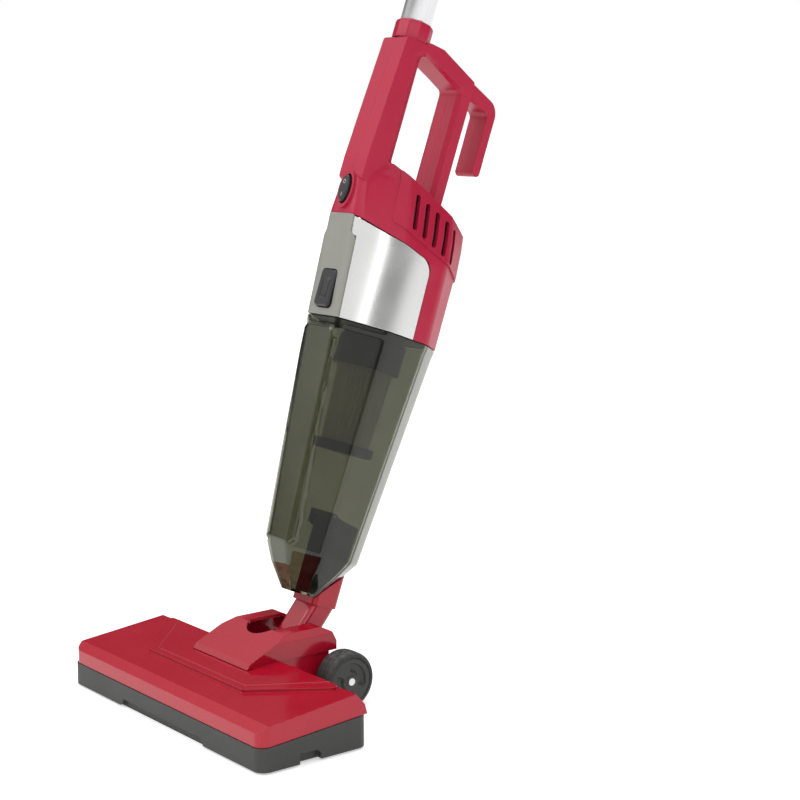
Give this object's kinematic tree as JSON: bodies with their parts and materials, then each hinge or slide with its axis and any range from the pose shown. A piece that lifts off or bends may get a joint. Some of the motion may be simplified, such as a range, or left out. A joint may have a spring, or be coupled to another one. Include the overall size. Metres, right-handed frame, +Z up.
{
  "type": "upright stick vacuum cleaner",
  "caption": "Corded stick vacuum cleaner with a tilting wheeled floor nozzle, clear cyclone dust cup, motor unit with loop handle, and long tube with a hand grip.",
  "frame": {"origin": "centre of the flat sole plate under the nozzle, at floor level", "axes": "+Z up, -Y towards the nozzle's front, +X to the user's right as they stand behind; the stick leans 20 degrees back towards +Y"},
  "size_m": [0.27, 0.4727, 1.1171],
  "materials": {
    "red_gloss": "glossy injection-moulded plastic",
    "red_satin": "satin injection-moulded plastic",
    "charcoal": "fine-textured matte plastic",
    "tyre_rubber": "soft matte rubber",
    "light_plastic": "satin plastic",
    "lint_fabric": "short directional pile",
    "steel": "bright zinc-plated",
    "black_plastic": "fine matte plastic",
    "smoked_clear": "clear smoked plastic",
    "soft_rubber": "soft matte rubber",
    "silver_paint": "fine metallic silver lacquer",
    "grey_plastic": "fine matte plastic",
    "foam": "open-cell foam",
    "motor_steel": "zinc-plated pressed steel",
    "aluminium": "die-cast",
    "copper": "enamelled copper wire",
    "pleat_paper": "pleated filter paper",
    "brushed_tube": "brushed and anodised",
    "grip_plastic": "soft-touch rubber skin"
  },
  "bodies": {
    "nozzle": {"nozzle_base": "charcoal", "nozzle_cover": "red_gloss", "sole_plate": "charcoal", "lint_strips": "lint_fabric", "neck_hood": "red_gloss", "nozzle_screws": "steel", "wheel_axles": "steel", "tilt_pins": "steel", "roller_pins": "steel", "friction_washers": "black_plastic"},
    "neck": {"neck_elbow": "red_gloss"},
    "wheel_left_turn": {"wheel_left": "charcoal", "tyre_left": "tyre_rubber"},
    "wheel_right_turn": {"wheel_right": "charcoal", "tyre_right": "tyre_rubber"},
    "roller_left_turn": {"roller_left": "light_plastic"},
    "roller_right_turn": {"roller_right": "light_plastic"},
    "dust_cup_unit": {"dust_cup": "smoked_clear", "inlet_duct": "black_plastic", "flap_pin": "steel"},
    "flap": {"inlet_flap": "soft_rubber"},
    "motor_unit": {"silver_shroud": "silver_paint", "front_spine": "grey_plastic", "housing_left": "red_satin", "housing_right": "red_satin", "collar": "red_satin", "housing_screws": "steel", "exhaust_foam_left": "foam", "exhaust_foam_right": "foam", "cord_gland": "soft_rubber", "switch_body": "black_plastic", "intake_plate": "black_plastic", "cup_seal": "soft_rubber", "lower_motor_mount": "soft_rubber", "upper_motor_mount": "soft_rubber", "fan_cover": "motor_steel", "motor_bracket": "aluminium", "stator_core": "motor_steel", "stator_windings": "copper", "motor_bearings": "steel", "button_spring": "steel"},
    "filter": {"filter_holder": "black_plastic", "filter_pleats": "pleat_paper", "filter_cap": "black_plastic", "filter_seal": "soft_rubber"},
    "rotor": {"rotor_shaft": "steel", "armature": "motor_steel", "impeller": "aluminium"},
    "button": {"release_button": "black_plastic"},
    "rocker": {"power_rocker": "black_plastic"},
    "tube_unit": {"tube": "brushed_tube", "hand_grip": "grip_plastic", "upper_cord_hook": "charcoal"}
  },
  "joints": [
    {"name": "neck_tilt", "type": "hinge", "parent": "nozzle", "child": "neck", "pos_m": [0, 0.074, 0.034], "axis": [-1, 0, 0], "range_deg": [-20, 60]},
    {"name": "wheel_left_roll", "type": "hinge", "parent": "nozzle", "child": "wheel_left_turn", "pos_m": [-0.0505, 0.097, 0.023], "axis": [1, 0, 0], "continuous": true},
    {"name": "wheel_right_roll", "type": "hinge", "parent": "nozzle", "child": "wheel_right_turn", "pos_m": [0.0505, 0.097, 0.023], "axis": [1, 0, 0], "continuous": true},
    {"name": "roller_left_roll", "type": "hinge", "parent": "nozzle", "child": "roller_left_turn", "pos_m": [-0.112, 0.028, 0.007], "axis": [1, 0, 0], "continuous": true},
    {"name": "roller_right_roll", "type": "hinge", "parent": "nozzle", "child": "roller_right_turn", "pos_m": [0.112, 0.028, 0.007], "axis": [1, 0, 0], "continuous": true},
    {"name": "cup_lift", "type": "slide", "parent": "neck", "child": "dust_cup_unit", "axis": [0, 0.342, 0.9397], "range_m": [0, 0.05]},
    {"name": "flap_swing", "type": "hinge", "parent": "dust_cup_unit", "child": "flap", "pos_m": [0, 0.11605, 0.14368], "axis": [1, 0, 0], "range_deg": [0, 65]},
    {"name": "motor_lift", "type": "slide", "parent": "dust_cup_unit", "child": "motor_unit", "axis": [0, 0.342, 0.9397], "range_m": [0, 0.12]},
    {"name": "filter_pull", "type": "slide", "parent": "motor_unit", "child": "filter", "axis": [0, -0.342, -0.9397], "range_m": [0, 0.02]},
    {"name": "motor_spin", "type": "hinge", "parent": "motor_unit", "child": "rotor", "pos_m": [0, 0.17285, 0.31728], "axis": [0, 0.342, 0.9397], "continuous": true},
    {"name": "button_press", "type": "slide", "parent": "motor_unit", "child": "button", "axis": [0, 0.9397, -0.342], "range_m": [0, 0.0025], "stiffness_N_per_m": 400, "springref_m": -0.001},
    {"name": "rocker_tip", "type": "hinge", "parent": "motor_unit", "child": "rocker", "pos_m": [0, 0.14066, 0.40135], "axis": [1, 0, 0], "range_deg": [-7, 7]},
    {"name": "tube_pull", "type": "slide", "parent": "motor_unit", "child": "tube_unit", "axis": [0, 0.342, 0.9397], "range_m": [0, 0.05]}
  ]
}
